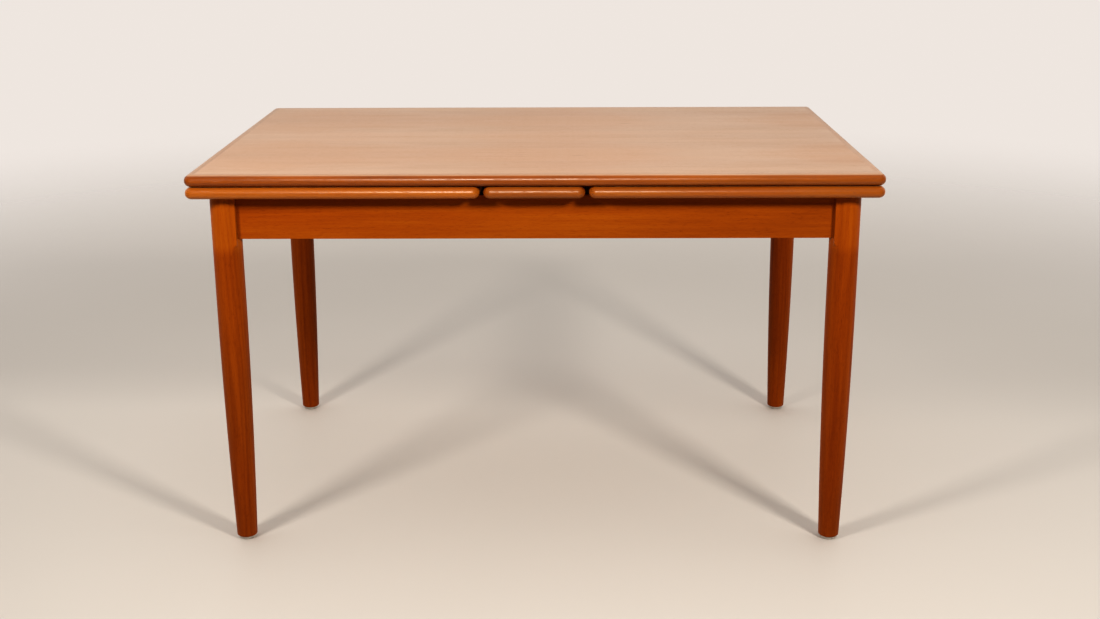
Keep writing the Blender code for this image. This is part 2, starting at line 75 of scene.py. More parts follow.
# ---------------------------------------------------------------- shader helper
class Shader:
    """One material, and short calls that add and link its nodes."""

    def __init__(self, name):
        self.material = bpy.data.materials.new(name)
        self.material.use_nodes = True
        self.tree = self.material.node_tree
        self.surface = self.tree.nodes["Principled BSDF"]

    def node(self, kind, **settings):
        node = self.tree.nodes.new(f"ShaderNode{kind}")
        for key, value in settings.items():
            setattr(node, key, value)
        return node

    def feed(self, socket, value):
        if isinstance(value, bpy.types.NodeSocket):
            self.tree.links.new(value, socket)
        else:
            socket.default_value = value

    def math(self, operation, *values, clamp=False):
        node = self.node("Math", operation=operation, use_clamp=clamp)
        for socket, value in zip(node.inputs, values):
            self.feed(socket, value)
        return node.outputs[0]

    def vector(self, operation, *values):
        node = self.node("VectorMath", operation=operation)
        for socket, value in zip(node.inputs, values):
            self.feed(socket, value)
        return node.outputs["Value"] if operation in ("LENGTH", "DISTANCE") else node.outputs[0]

    def noise(self, vector, stretch, detail=2.0, roughness=0.5, output="Fac"):
        """Noise whose cells are 1 / stretch metres long on each axis."""
        node = self.node("TexNoise")
        node.inputs["Scale"].default_value = 1.0
        node.inputs["Detail"].default_value = detail
        node.inputs["Roughness"].default_value = roughness
        self.feed(node.inputs["Vector"], self.vector("MULTIPLY", vector, stretch))
        return node.outputs[output]

    def steps(self, value, low, high, to_low=0.0, to_high=1.0):
        node = self.node("MapRange", interpolation_type="SMOOTHSTEP")
        self.feed(node.inputs["Value"], value)
        for name, amount in (("From Min", low), ("From Max", high), ("To Min", to_low), ("To Max", to_high)):
            self.feed(node.inputs[name], amount)
        return node.outputs["Result"]

    def mix(self, factor, a, b, blend="MIX"):
        node = self.node("Mix", data_type="RGBA", blend_type=blend)
        for name, value in (("Factor_Float", factor), ("A_Color", a), ("B_Color", b)):
            socket = next(item for item in node.inputs if item.identifier == name)
            self.feed(socket, value)
        return next(item for item in node.outputs if item.identifier == "Result_Color")

    def ramp(self, factor, stops):
        node = self.node("ValToRGB")
        self.feed(node.inputs["Fac"], factor)
        elements = node.color_ramp.elements
        while len(elements) < len(stops):
            elements.new(0.5)
        for element, (place, color) in zip(elements, stops):
            element.position = place
            element.color = (*color, 1.0)
        return node.outputs["Color"]

    def object_place(self):
        return self.node("TexCoord").outputs["Object"]

    def split(self, vector):
        node = self.node("SeparateXYZ")
        self.feed(node.inputs[0], vector)
        return node.outputs

    def join(self, *values):
        node = self.node("CombineXYZ")
        for socket, value in zip(node.inputs, values):
            self.feed(socket, value)
        return node.outputs[0]

    def place(self, order, offset):
        """Object coordinates with the grain's axis first, moved by a piece's own offset."""
        axes = self.split(self.object_place())
        return self.vector("ADD", self.join(*(axes[axis] for axis in order)), offset)

    def bump(self, height, distance, strength):
        node = self.node("Bump")
        node.inputs["Distance"].default_value = distance
        node.inputs["Strength"].default_value = strength
        self.feed(node.inputs["Height"], height)
        self.feed(self.surface.inputs["Normal"], node.outputs["Normal"])

    def total(self, start, *terms):
        """start plus each (value, weight) term, where a value of 0.5 counts as nothing."""
        result = start
        for value, weight in terms:
            centred = self.math("SUBTRACT", value, 0.5)
            result = self.math("MULTIPLY_ADD", centred, weight, result)
        return result


# ---------------------------------------------------------------- wood
SOLID_TEAK = (
    (0.00, (0.060, 0.009, 0.001)),
    (0.30, (0.200, 0.041, 0.003)),
    (0.50, (0.315, 0.077, 0.005)),
    (0.72, (0.410, 0.125, 0.009)),
    (1.00, (0.530, 0.200, 0.022)),
)
GOLDEN_TEAK = (
    (0.00, (0.065, 0.015, 0.002)),
    (0.30, (0.205, 0.055, 0.004)),
    (0.50, (0.315, 0.092, 0.008)),
    (0.72, (0.415, 0.145, 0.014)),
    (1.00, (0.540, 0.235, 0.030)),
)
VENEER_TEAK = (
    (0.00, (0.172, 0.084, 0.044)),
    (0.30, (0.375, 0.220, 0.132)),
    (0.50, (0.445, 0.284, 0.184)),
    (0.72, (0.506, 0.340, 0.232)),
    (1.00, (0.600, 0.438, 0.325)),
)
BEECH = (
    (0.00, (0.220, 0.110, 0.050)),
    (0.30, (0.440, 0.260, 0.135)),
    (0.50, (0.540, 0.345, 0.195)),
    (0.72, (0.600, 0.410, 0.250)),
    (1.00, (0.680, 0.500, 0.340)),
)
WARM_TINT = (1.0, 0.72, 0.50, 1.0)
CLEAR_TINT = (1.0, 0.96, 0.90, 1.0)
SATIN = (0.42, 0.85, CLEAR_TINT)
POLISHED = (0.32, 0.50, CLEAR_TINT)
DULL = (0.42, 0.12, WARM_TINT)
SANDED = (0.55, 0.30, CLEAR_TINT)
GRAIN_ORDER = {"X": (0, 1, 2), "Y": (1, 0, 2), "Z": (2, 0, 1)}
NOTHING = (0.0, 0.0, 0.0)


def piece_offset(seed):
    """A repeatable offset of a few metres, so that no two pieces show the same grain."""
    return (seed * 3.171 % 7.0, seed * 1.937 % 3.0 - 1.5, seed * 2.713 % 3.0 - 1.5)


class Wood(Shader):
    """Oiled wood with growth rings, streaks, fibres, open pores, patchy colour and a soft sheen."""

    def __init__(self, name, grain, seed, strip=0.0):
        super().__init__(name)
        self.bare = self.place(GRAIN_ORDER[grain], NOTHING)
        if strip:
            self.bare = self.book_match(self.bare, strip)
        self.own = self.vector("ADD", self.bare, piece_offset(seed))
        sway = self.noise(self.own, (1.3, 6.0, 6.0), detail=2.0)
        bend = self.join(0.0, self.math("MULTIPLY_ADD", sway, 0.022, -0.011),
                         self.math("MULTIPLY_ADD", sway, 0.012, -0.006))
        self.swayed = self.vector("ADD", self.own, bend)
        self.bent = self.vector("ADD", self.bare, bend)
        self.broad = self.noise(self.swayed, (0.9, 12.0, 12.0), detail=3.0, roughness=0.55)
        self.streak = self.noise(self.swayed, (3.0, 95.0, 95.0), detail=3.0, roughness=0.6)
        self.fibre = self.noise(self.swayed, (16.0, 620.0, 620.0), detail=3.0, roughness=0.65)
        self.pores = self.steps(self.noise(self.swayed, (85.0, 2300.0, 2300.0), detail=1.0), 0.60, 0.72)
        self.value = 0.5

    def book_match(self, place, strip):
        """Fold the across-grain coordinate, so that neighbouring strips of veneer mirror each other."""
        along, across, deep = self.split(place)
        return self.join(along, self.math("PINGPONG", across, strip), deep)

    def tint(self, mask, amount):
        self.value = self.math("MULTIPLY_ADD", mask, amount, self.value)

    def grain(self, tone, contrast, palette):
        """The fields that every stick of the wood has."""
        self.value = self.total(tone, (self.broad, 0.55 * contrast), (self.streak, 0.42 * contrast),
                                (self.fibre, 0.24 * contrast))
        self.tint(self.pores, -0.16)
        self.palette = palette

    def rings(self, pith, tilt, spacing, depth):
        """Lines where the board cuts the growth rings round a pith beside it, tilted along the grain."""
        along, across, deep = self.split(self.bent)
        rise = self.math("MULTIPLY_ADD", along, tilt, self.math("SUBTRACT", deep, pith[1]))
        flat = self.join(self.math("SUBTRACT", across, pith[0]), rise, 0.0)
        wander = self.noise(self.own, (2.0, 24.0, 24.0))
        phase = self.math("MULTIPLY_ADD", self.vector("LENGTH", flat), 2 * math.pi / spacing,
                          self.math("MULTIPLY", wander, 14.0))
        wave = self.math("MULTIPLY_ADD", self.math("SINE", phase), 0.5, 0.5)
        patchy = self.steps(self.noise(self.own, (1.6, 13.0, 13.0), detail=1.0), 0.30, 0.68, 0.2, 1.0)
        self.tint(self.math("MULTIPLY", self.math("POWER", wave, 2.2), patchy), -depth)

    def strips(self, strip):
        """A slight step in tone from one strip of veneer to the next."""
        number = self.math("FLOOR", self.math("DIVIDE", self.split(self.object_place())[1], strip))
        white = self.node("TexWhiteNoise", noise_dimensions="1D")
        self.feed(white.inputs["W"], number)
        self.tint(self.math("SUBTRACT", white.outputs["Value"], 0.5), 0.05)

    def mark(self, centre, size, amount):
        """A short dark mineral streak, ragged along its edges."""
        scaled = self.vector("DIVIDE", self.vector("SUBTRACT", self.object_place(), centre), size)
        reach = self.math("MULTIPLY_ADD", self.streak, 1.2, self.vector("LENGTH", scaled))
        self.tint(self.steps(reach, 1.45, 0.7), -amount)

    def finish(self, sheen, faded=None):
        """Colour from the value and the palette, then the sheen and the open grain."""
        roughness, specular, tint = sheen
        color = self.ramp(self.value, self.palette)
        if faded is not None:
            color = self.mix(faded, color, self.ramp(self.value, VENEER_TEAK))
            roughness = self.math("MULTIPLY_ADD", faded, SATIN[0] - roughness, roughness)
            specular = self.math("MULTIPLY_ADD", faded, SATIN[1] - specular, specular)
        warm = self.steps(self.noise(self.own, (2.2, 4.5, 4.5), detail=2.0), 0.35, 0.65)
        color = self.mix(warm, color, (1.0, 0.92, 0.84, 1.0), "MULTIPLY")
        self.feed(self.surface.inputs["Base Color"], color)
        smudge = self.noise(self.own, (7.0, 11.0, 11.0), detail=3.0)
        shine = self.total(roughness, (smudge, 0.14), (self.fibre, 0.12))
        self.feed(self.surface.inputs["Roughness"], self.math("MULTIPLY_ADD", self.pores, 0.18, shine))
        height = self.total(0.5, (self.fibre, 0.5), (self.streak, 0.6))
        self.bump(self.math("MULTIPLY_ADD", self.pores, -0.9, height), 0.00016, 0.45)
        self.feed(self.surface.inputs["Specular IOR Level"], specular)
        self.surface.inputs["Specular Tint"].default_value = tint
        return self.material

    # Masks made from where a point is on its piece.
    def inset(self, low, high, axis):
        """Distance inwards from the nearer of a box's two faces on one axis."""
        place = self.split(self.object_place())[axis]
        off = self.math("ABSOLUTE", self.math("SUBTRACT", place, (low[axis] + high[axis]) / 2))
        return self.math("SUBTRACT", (high[axis] - low[axis]) / 2, off)

    def arrises(self, low, high, reach=4.0 * MM):
        """Wear along a box's arrises, broken up by the grain."""
        gaps = [self.inset(low, high, axis) for axis in range(3)]
        smaller = self.math("MINIMUM", gaps[0], gaps[1])
        larger = self.math("MAXIMUM", gaps[0], gaps[1])
        second = self.math("MAXIMUM", smaller, self.math("MINIMUM", larger, gaps[2]))
        return self.steps(self.math("MULTIPLY_ADD", self.streak, reach, second), 1.5 * reach, 0.4 * reach)

    def nose(self, low, high):
        """A rubbed line along the belly of a board's half-round edge."""
        depth = self.math("MINIMUM", self.inset(low, high, 0), self.inset(low, high, 1))
        return self.steps(self.math("MULTIPLY_ADD", self.streak, 3.0 * MM, depth), 3.6 * MM, 1.2 * MM)

    def level(self, start, end):
        """0 at one height, 1 at another."""
        return self.steps(self.split(self.object_place())[2], start, end)


def edge_teak(name, grain, seed, low, high, tone, fade):
    """Solid lipping: pale on top like the veneer, where light and use have faded it, golden on its nose."""
    shader = Wood(name, grain, seed)
    shader.grain(tone, 0.8, GOLDEN_TEAK)
    shader.rings((0.4, -0.05), 0.012, 0.006, 0.06)
    shader.tint(shader.nose(low, high), 0.05)
    return shader.finish(POLISHED, shader.level(high.z - fade, high.z - 0.3 * fade))


def veneer_teak(name, seed, marks):
    shader = Wood(name, "X", seed, strip=VENEER_STRIP)
    shader.grain(0.5, 0.7, VENEER_TEAK)
    shader.rings((VENEER_STRIP / 2, 0.60), 0.035, 0.0075, 0.07)
    shader.strips(VENEER_STRIP)
    for centre, size in marks:
        shader.mark(centre, size, 0.35)
    return shader.finish(SATIN)


def leg_teak(name, seed, pith, foot_tone, upper_tone):
    """Darkest low down, palest on the head that the aprons meet, with scuffs round the foot."""
    shader = Wood(name, "Z", seed)
    shader.grain(foot_tone, 0.7, SOLID_TEAK)
    shader.rings(pith, 0.02, 0.0065, 0.05)
    shader.tint(shader.level(0.05, 0.50), upper_tone - foot_tone)
    shader.tint(shader.level(*HEAD_FADE), HEAD_TONE - upper_tone)
    foot = shader.math("MULTIPLY_ADD", shader.streak, 0.09, shader.split(shader.object_place())[2])
    shader.tint(shader.steps(foot, 0.080, 0.030), 0.05)
    return shader.finish(DULL)


def apron_teak(name, grain, seed, low, high):
    shader = Wood(name, grain, seed)
    shader.grain(0.525, 0.7, SOLID_TEAK)
    shader.rings((0.5, 0.64), 0.02, 0.007, 0.05)
    shader.tint(shader.arrises(low, high), 0.05)
    return shader.finish(DULL)


def beech(name, grain, seed, box=None):
    shader = Wood(name, grain, seed)
    shader.grain(0.5, 0.6, BEECH)
    shader.rings((0.3, -0.2), 0.02, 0.006, 0.04)
    if box:
        shader.tint(shader.arrises(*box), 0.10)
    return shader.finish(SANDED)


# ---------------------------------------------------------------- other materials
def steel_material(name):
    shader = Shader(name)
    place = shader.place((0, 1, 2), (0.0, 0.0, 0.0))
    dull = shader.noise(place, (90.0, 90.0, 90.0), detail=4.0)
    scratch = shader.noise(place, (2200.0, 300.0, 2200.0), detail=2.0)
    value = shader.total(0.55, (dull, 0.9), (scratch, 0.25))
    stops = ((0.0, (0.20, 0.19, 0.17)), (0.5, (0.50, 0.50, 0.49)), (1.0, (0.72, 0.72, 0.70)))
    shader.feed(shader.surface.inputs["Base Color"], shader.ramp(value, stops))
    shader.feed(shader.surface.inputs["Roughness"], shader.total(0.34, (dull, 0.35), (scratch, 0.2)))
    shader.surface.inputs["Metallic"].default_value = 1.0
    shader.bump(scratch, 0.00004, 0.4)
    return shader.material


def nylon_material(name):
    """Pale moulded plastic, greyed by handling and dirty where it meets the floor."""
    shader = Shader(name)
    place = shader.place((0, 1, 2), (0.0, 0.0, 0.0))
    cloud = shader.noise(place, (160.0, 160.0, 220.0), detail=4.0)
    scuff = shader.noise(place, (900.0, 900.0, 300.0), detail=3.0)
    low = shader.steps(shader.math("MULTIPLY_ADD", cloud, 0.003, shader.split(place)[2]), 0.0045, 0.0012)
    value = shader.total(0.6, (cloud, 0.5), (scuff, 0.25))
    value = shader.math("MULTIPLY_ADD", low, -0.35, value)
    stops = ((0.0, (0.16, 0.13, 0.10)), (0.5, (0.42, 0.39, 0.35)), (1.0, (0.64, 0.62, 0.58)))
    shader.feed(shader.surface.inputs["Base Color"], shader.ramp(value, stops))
    shader.feed(shader.surface.inputs["Roughness"], shader.total(0.46, (scuff, 0.3)))
    shader.bump(scuff, 0.00005, 0.5)
    return shader.material


def felt_material(name):
    shader = Shader(name)
    place = shader.place((0, 1, 2), (0.0, 0.0, 0.0))
    nap = shader.noise(place, (1400.0, 1400.0, 1400.0), detail=4.0, roughness=0.7)
    patch = shader.noise(place, (120.0, 120.0, 120.0), detail=2.0)
    stops = ((0.25, (0.045, 0.030, 0.020)), (0.75, (0.17, 0.12, 0.08)))
    value = shader.total(0.5, (nap, 0.8), (patch, 0.5))
    shader.feed(shader.surface.inputs["Base Color"], shader.ramp(value, stops))
    shader.surface.inputs["Roughness"].default_value = 0.95
    shader.surface.inputs["Sheen Weight"].default_value = 0.4
    shader.surface.inputs["Sheen Roughness"].default_value = 0.5
    shader.bump(nap, 0.0004, 0.8)
    return shader.material


def floor_material():
    """A pale floor that fades into the backdrop far from the table."""
    shader = Shader("pale_floor")
    place = shader.place((0, 1, 2), (0.0, 0.0, 0.0))
    cloud = shader.noise(place, (0.6, 0.6, 0.6), detail=3.0)
    stops = ((0.3, FLOOR_DARK), (0.7, FLOOR_LIGHT))
    shader.feed(shader.surface.inputs["Base Color"], shader.ramp(cloud, stops))
    shader.surface.inputs["Roughness"].default_value = 0.62
    shader.surface.inputs["Specular IOR Level"].default_value = 0.2
    fade = shader.steps(shader.vector("LENGTH", place), *FLOOR_FADE)
    mix = shader.node("MixShader")
    shader.feed(mix.inputs[0], fade)
    shader.tree.links.new(shader.surface.outputs[0], mix.inputs[1])
    shader.tree.links.new(shader.node("BsdfTransparent").outputs[0], mix.inputs[2])
    shader.tree.links.new(mix.outputs[0], shader.tree.nodes["Material Output"].inputs["Surface"])
    return shader.material


FLOOR_DARK = (0.60, 0.575, 0.545)
FLOOR_LIGHT = (0.63, 0.605, 0.575)


# ---------------------------------------------------------------- mesh helpers
SMOOTH_ANGLE = math.radians(35)


def add_piece(name, bm, material, body, node=None):
    """Finish one piece: its mesh, material and slot, the body it rides on and the CAD node it stands for."""
    bmesh.ops.recalc_face_normals(bm, faces=bm.faces)
    mesh = bpy.data.meshes.new(name)
    bm.to_mesh(mesh)
    bm.free()
    mesh.shade_smooth()
    mesh.set_sharp_from_angle(angle=SMOOTH_ANGLE)
    mesh.materials.append(material)
    piece = bpy.data.objects.new(name, mesh)
    bpy.context.scene.collection.objects.link(piece)
    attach(piece, body)
    if node:
        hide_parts(node)
    return piece


def union_box(*nodes):
    boxes = [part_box(node) for node in nodes]
    low = Vector([min(box[0][axis] for box in boxes) for axis in range(3)])
    high = Vector([max(box[1][axis] for box in boxes) for axis in range(3)])
    return low, high


def box_bm(low, high, edge=0.0, along=None):
    """A box with all its arrises rounded, or only those that run along one axis."""
    bm = bmesh.new()
    bmesh.ops.create_cube(bm, size=1.0)
    arrises = [
        item for item in bm.edges
        if along is None or item.verts[0].co[along] != item.verts[1].co[along]
    ]
    bmesh.ops.scale(bm, vec=high - low, verts=bm.verts)
    bmesh.ops.translate(bm, vec=(high + low) / 2, verts=bm.verts)
    if edge:
        bmesh.ops.bevel(bm, geom=arrises, offset=edge, segments=3, profile=0.5, affect="EDGES")
    return bm


def outline_bm(outline, low, high, edge, axes=(0, 1, 2)):
    """A flat outline in the first two axes given, extruded along the third, its arrises rounded."""
    bm = bmesh.new()
    rings = []
    for level in (low, high):
        ring = []
        for a, b in outline:
            place = [0.0, 0.0, 0.0]
            for axis, value in zip(axes, (a, b, level)):
                place[axis] = value
            ring.append(bm.verts.new(place))
        rings.append(ring)
    count = len(outline)
    bm.faces.new(rings[0])
    bm.faces.new(list(reversed(rings[1])))
    for index in range(count):
        following = (index + 1) % count
        bm.faces.new((rings[0][index], rings[1][index], rings[1][following], rings[0][following]))
    bmesh.ops.recalc_face_normals(bm, faces=bm.faces)
    if edge:
        bmesh.ops.bevel(bm, geom=bm.edges[:], offset=edge, segments=3, profile=0.5, affect="EDGES")
    return bm


def lathe_bm(outline, steps):
    """A solid turned about Z from (radius, height) points, first and last on the axis."""
    bm = bmesh.new()
    rings = []
    for radius, height in outline:
        if radius == 0.0:
            rings.append([bm.verts.new((0.0, 0.0, height))] * steps)
            continue
        angles = [2 * math.pi * index / steps for index in range(steps)]
        rings.append([bm.verts.new((radius * math.cos(a), radius * math.sin(a), height)) for a in angles])
    for upper, lower in zip(rings, rings[1:]):
        for index in range(steps):
            following = (index + 1) % steps
            corners = [upper[index], lower[index], lower[following], upper[following]]
            bm.faces.new(list(dict.fromkeys(corners)))
    return bm


def arc(centre, radius, start, end, count):
    """(radius, height) points on an arc, angles in degrees from the outward direction."""
    angles = [math.radians(start + (end - start) * index / count) for index in range(count + 1)]
    return [(centre[0] + radius * math.cos(a), centre[1] + radius * math.sin(a)) for a in angles]


# ---------------------------------------------------------------- boards with half-round edges
EDGE_WIDTH = 18.0 * MM
PLAN_CORNER = 13.0 * MM
PANEL_GAP = 0.08 * MM
PEG_CLEARANCE = 1.0 * MM
HOLE_STEPS = 48
FAN = 4.0 * MM
ARC_STEPS = 10
NOSE_STEPS = 26
VENEER_STRIP = 0.214
TOP_MARKS = (
    ((0.188, 0.169, 0.735), (0.022, 0.0030, 1.0)),
    ((0.081, -0.228, 0.735), (0.030, 0.0030, 1.0)),
    ((-0.035, -0.220, 0.735), (0.024, 0.0018, 1.0)),
)
SIDES = {
    "front": ((0, 0), (1, 0), (0, 1)),
    "right": ((1, 0), (0, 1), (-1, 0)),
    "back": ((1, 1), (-1, 0), (0, -1)),
    "left": ((0, 1), (0, -1), (1, 0)),
}


def edge_bm(low, high, side):
    """One mitred edge of a board: half-round outside, with its half of each rounded plan corner."""
    corner, along, inward = SIDES[side]
    start = Vector([(low, high)[corner[axis]][axis] for axis in range(2)])
    along = Vector(along)
    inward = Vector(inward)
    length = abs((high.xy - low.xy).dot(along))
    half = (high.z - low.z) / 2
    middle = (high.z + low.z) / 2
    stations = []
    for index in range(ARC_STEPS + 1):
        turn = math.radians(45 + 45 * index / ARC_STEPS)
        centre = Vector((PLAN_CORNER, PLAN_CORNER))
        outward = Vector((-math.cos(turn), -math.sin(turn)))
        inner = Vector((EDGE_WIDTH + FAN * index / ARC_STEPS, EDGE_WIDTH))
        stations.append((centre, outward, inner))
    for centre, outward, inner in reversed(stations[:]):
        stations.append(tuple(Vector((sign * v.x + shift, v.y)) for v, sign, shift in (
            (centre, -1, length), (outward, -1, 0.0), (inner, -1, length))))
    bm = bmesh.new()
    loops = []
    for centre, outward, inner in stations:
        points = [(inner, high.z)]
        for index in range(NOSE_STEPS + 1):
            rise = math.radians(90 - 180 * index / NOSE_STEPS)
            reach = PLAN_CORNER - half + half * math.cos(rise)
            points.append((centre + outward * reach, middle + half * math.sin(rise)))
        points.append((inner, low.z))
        loops.append([
            bm.verts.new((*(start + along * flat.x + inward * flat.y), height)) for flat, height in points
        ])
    for first, second in zip(loops, loops[1:]):
        for index in range(len(first)):
            following = (index + 1) % len(first)
            bm.faces.new((first[index], first[following], second[following], second[index]))
    bm.faces.new(loops[0])
    bm.faces.new(loops[-1])
    return bm


def make_board(name, body, seed, tone, fade=0.25 * MM, marks=()):
    """The veneered panel of a board and its four solid edges."""
    low, high = union_box(*(f"{name}_edge_{side}" for side in SIDES))
    for index, side in enumerate(SIDES):
        node = f"{name}_edge_{side}"
        grain = "X" if side in ("front", "back") else "Y"
        material = edge_teak(f"{node}_teak", grain, seed + index, low, high, tone, fade)
        NOSES.append(add_piece(f"{node}_fine", edge_bm(low, high, side), material, body, node))
    inset = Vector((EDGE_WIDTH + PANEL_GAP, EDGE_WIDTH + PANEL_GAP, 0.0))
    node = f"{name}_panel"
    material = veneer_teak(f"{node}_veneer", seed + 7, marks)
    return add_piece(f"{node}_fine", box_bm(low + inset, high - inset), material, body, node)


def make_boards():
    make_board("top", "top", 1, 0.38, 2.6 * MM, TOP_MARKS)
    make_board("left_leaf", "left_leaf", 71, 0.62)
    make_board("right_leaf", "right_leaf", 83, 0.52)
    panel = make_board("centre_board", "frame", 95, 0.43)
    low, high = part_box("centre_board_panel")
    for corner in CORNERS:
        peg_low, peg_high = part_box(f"locating_peg_{corner}")
        radius = (peg_high.x - peg_low.x) / 2 + PEG_CLEARANCE
        over, under = high.z + MM, low.z - MM
        bm = lathe_bm([(0.0, over), (radius, over), (radius, under), (0.0, under)], HOLE_STEPS)
        bmesh.ops.translate(bm, vec=(*((peg_low + peg_high) / 2).xy, 0.0), verts=bm.verts)
        subtract(panel, bm)


def subtract(piece, bm):
    """Cut one closed shape from a piece and apply it."""
    bmesh.ops.recalc_face_normals(bm, faces=bm.faces)
    mesh = bpy.data.meshes.new("cutter")
    bm.to_mesh(mesh)
    bm.free()
    cutter = bpy.data.objects.new("cutter", mesh)
    bpy.context.scene.collection.objects.link(cutter)
    modifier = piece.modifiers.new("cut", "BOOLEAN")
    modifier.operation = "DIFFERENCE"
    modifier.object = cutter
    graph = bpy.context.evaluated_depsgraph_get()
    cut = bpy.data.meshes.new_from_object(piece.evaluated_get(graph))
    cut.set_sharp_from_angle(angle=SMOOTH_ANGLE)
    piece.modifiers.clear()
    piece.data = cut
    bpy.data.objects.remove(cutter, do_unlink=True)


# ---------------------------------------------------------------- legs
LEG_RADIUS = 27.5 * MM
CHEEK = 23.5 * MM
HEAD_FACE = 22.5 * MM
HEAD_DROP = 9.0 * MM
SEAT_GAP = 0.1 * MM
SEAT_STEP = 0.05 * MM
COVE_HEIGHT = 11.0 * MM
COVE_RADIUS = 14.4 * MM
TAPER_START = 0.500
TAPER = 8.2 * MM
FOOT_ROUNDING = 3.0 * MM
ARRIS_SHARPNESS = 46
VALLEY = 1.6 * MM
LEG_TOP_EASE = 0.6 * MM
LEG_TONES = {
    "front_left": (0.365, 0.39),
    "front_right": (0.355, 0.45),
    "back_right": (0.40, 0.40),
    "back_left": (0.38, 0.38),
}
HEAD_TONE = 0.56
HEAD_FADE = (0.574, 0.600)
BASE_ANGLES = 120
HEAD_CORNERS = (
    math.atan2(-CHEEK, HEAD_FACE),
    math.atan2(HEAD_FACE, HEAD_FACE),
    math.atan2(HEAD_FACE, -CHEEK),
)


def leg_angles():
    """Angles round the leg, crowded where the squared head has its corners."""
    angles = {round(2 * math.pi * index / BASE_ANGLES, 6) for index in range(BASE_ANGLES)}
    for corner in HEAD_CORNERS:
        for step in range(-9, 10):
            angles.add(round((corner + math.radians(step * 0.7)) % (2 * math.pi), 6))
    return sorted(angles)


def square_reach(angle):
    """Distance from the leg's axis to the squared head, its corners slightly rounded; 0 on its round side."""
    if math.cos(angle) < 0 and math.sin(angle) < 0:
        return 0.0
    total = 0.0
    for normal, distance in ((0.0, HEAD_FACE), (90.0, HEAD_FACE), (180.0, CHEEK), (270.0, CHEEK)):
        facing = math.cos(angle - math.radians(normal))
        if facing > 0:
            total += (facing / distance) ** ARRIS_SHARPNESS
    return total ** (-1 / ARRIS_SHARPNESS)


def soft_larger(a, b, width):
    """The larger of two lengths, with the valley where they meet filled a little."""
    blend = max(0.0, 1.0 - abs(a - b) / width)
    return max(a, b) + blend * blend * width / 4


def flat_reach(angle):
    """Distance from the leg's axis to the nearer of the two flats that the aprons meet."""
    facings = [facing for facing in (math.cos(angle), math.sin(angle)) if facing > 0]
    return min([HEAD_FACE / facing for facing in facings], default=math.inf)


def leg_bm(radius, foot, seat, top):
    """A turned leg: round and tapered, squared towards +X and +Y above a cove, flat from seat up."""
    head_low = seat - HEAD_DROP
    cove_low = head_low - COVE_HEIGHT
    levels = [(foot, "foot")]
    taper_heights = [foot + FOOT_ROUNDING + (TAPER_START - foot - FOOT_ROUNDING) * k / 36 for k in range(37)]
    for step in range(1, 6):
        levels.append((foot + FOOT_ROUNDING * (1 - math.cos(math.pi / 2 * step / 5)), "foot"))
    levels += [(height, "round") for height in taper_heights[1:]]
    levels += [(TAPER_START + (cove_low - TAPER_START) * step / 6, "round") for step in range(1, 7)]
    levels += [(cove_low + COVE_HEIGHT * step / 14, "cove") for step in range(1, 15)]
    levels += [(seat - HEAD_DROP * step / 3, "head") for step in (3, 2, 1, 0)]
    flat_low = seat + SEAT_STEP
    levels += [(flat_low + (top - LEG_TOP_EASE - flat_low) * step / 8, "flat") for step in range(9)]
    levels += [(top, "lid")]
    angles = leg_angles()
    bm = bmesh.new()
    rings = []
    for height, kind in levels:
        slim = max(0.0, 1.0 - max(height, foot + FOOT_ROUNDING) / TAPER_START)
        base = radius - TAPER * slim * slim
        if kind == "foot":
            drop = foot + FOOT_ROUNDING - height
            base += math.sqrt(max(0.0, FOOT_ROUNDING**2 - drop**2)) - FOOT_ROUNDING
        ring = []
        for angle in angles:
            reach = base
            if kind in ("cove", "head", "flat", "lid"):
                head = square_reach(angle)
                if kind == "cove":
                    rise = height - cove_low
                    head = min(head, radius + COVE_RADIUS - math.sqrt(COVE_RADIUS**2 - rise**2))
                reach = soft_larger(base, head, VALLEY)
            if kind in ("flat", "lid"):
                reach = min(reach, flat_reach(angle))
            if kind == "lid":
                reach -= LEG_TOP_EASE
            ring.append(bm.verts.new((reach * math.cos(angle), reach * math.sin(angle), height)))
        rings.append(ring)
    for lower, upper in zip(rings, rings[1:]):
        for index in range(len(angles)):
            following = (index + 1) % len(angles)
            bm.faces.new((lower[index], lower[following], upper[following], upper[index]))
    for ring, height in ((rings[0], foot), (rings[-1], top)):
        middle = bm.verts.new((0.0, 0.0, height))
        for index in range(len(angles)):
            bm.faces.new((ring[index], ring[(index + 1) % len(angles)], middle))
    return bm


CORNERS = {
    "front_left": (-1, -1, 0.0),
    "front_right": (1, -1, 90.0),
    "back_right": (1, 1, 180.0),
    "back_left": (-1, 1, -90.0),
}


def corner_matrix(corner):
    """Brings a piece made for the front left corner, about the leg's axis, to another corner."""
    turn = CORNERS[corner][2]
    low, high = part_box(f"glide_{corner}")
    place = Vector(((low.x + high.x) / 2, (low.y + high.y) / 2, 0.0))
    return Matrix.Translation(place) @ Matrix.Rotation(math.radians(turn), 4, "Z")


def make_legs():
    for seed, corner in enumerate(CORNERS):
        low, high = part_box(f"leg_{corner}")
        apron_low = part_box("apron_front")[0]
        bm = leg_bm(LEG_RADIUS, low.z, apron_low.z - SEAT_GAP, high.z)
        bm.transform(corner_matrix(corner))
        pith = (CORNERS[corner][0] * 0.53, CORNERS[corner][1] * 0.31)
        material = leg_teak(f"leg_{corner}_teak", 20 + seed, pith, *LEG_TONES[corner])
        add_piece(f"leg_{corner}_fine", bm, material, "frame", f"leg_{corner}")


# ---------------------------------------------------------------- aprons, rails and bearers
APRON_EDGE = 1.0 * MM


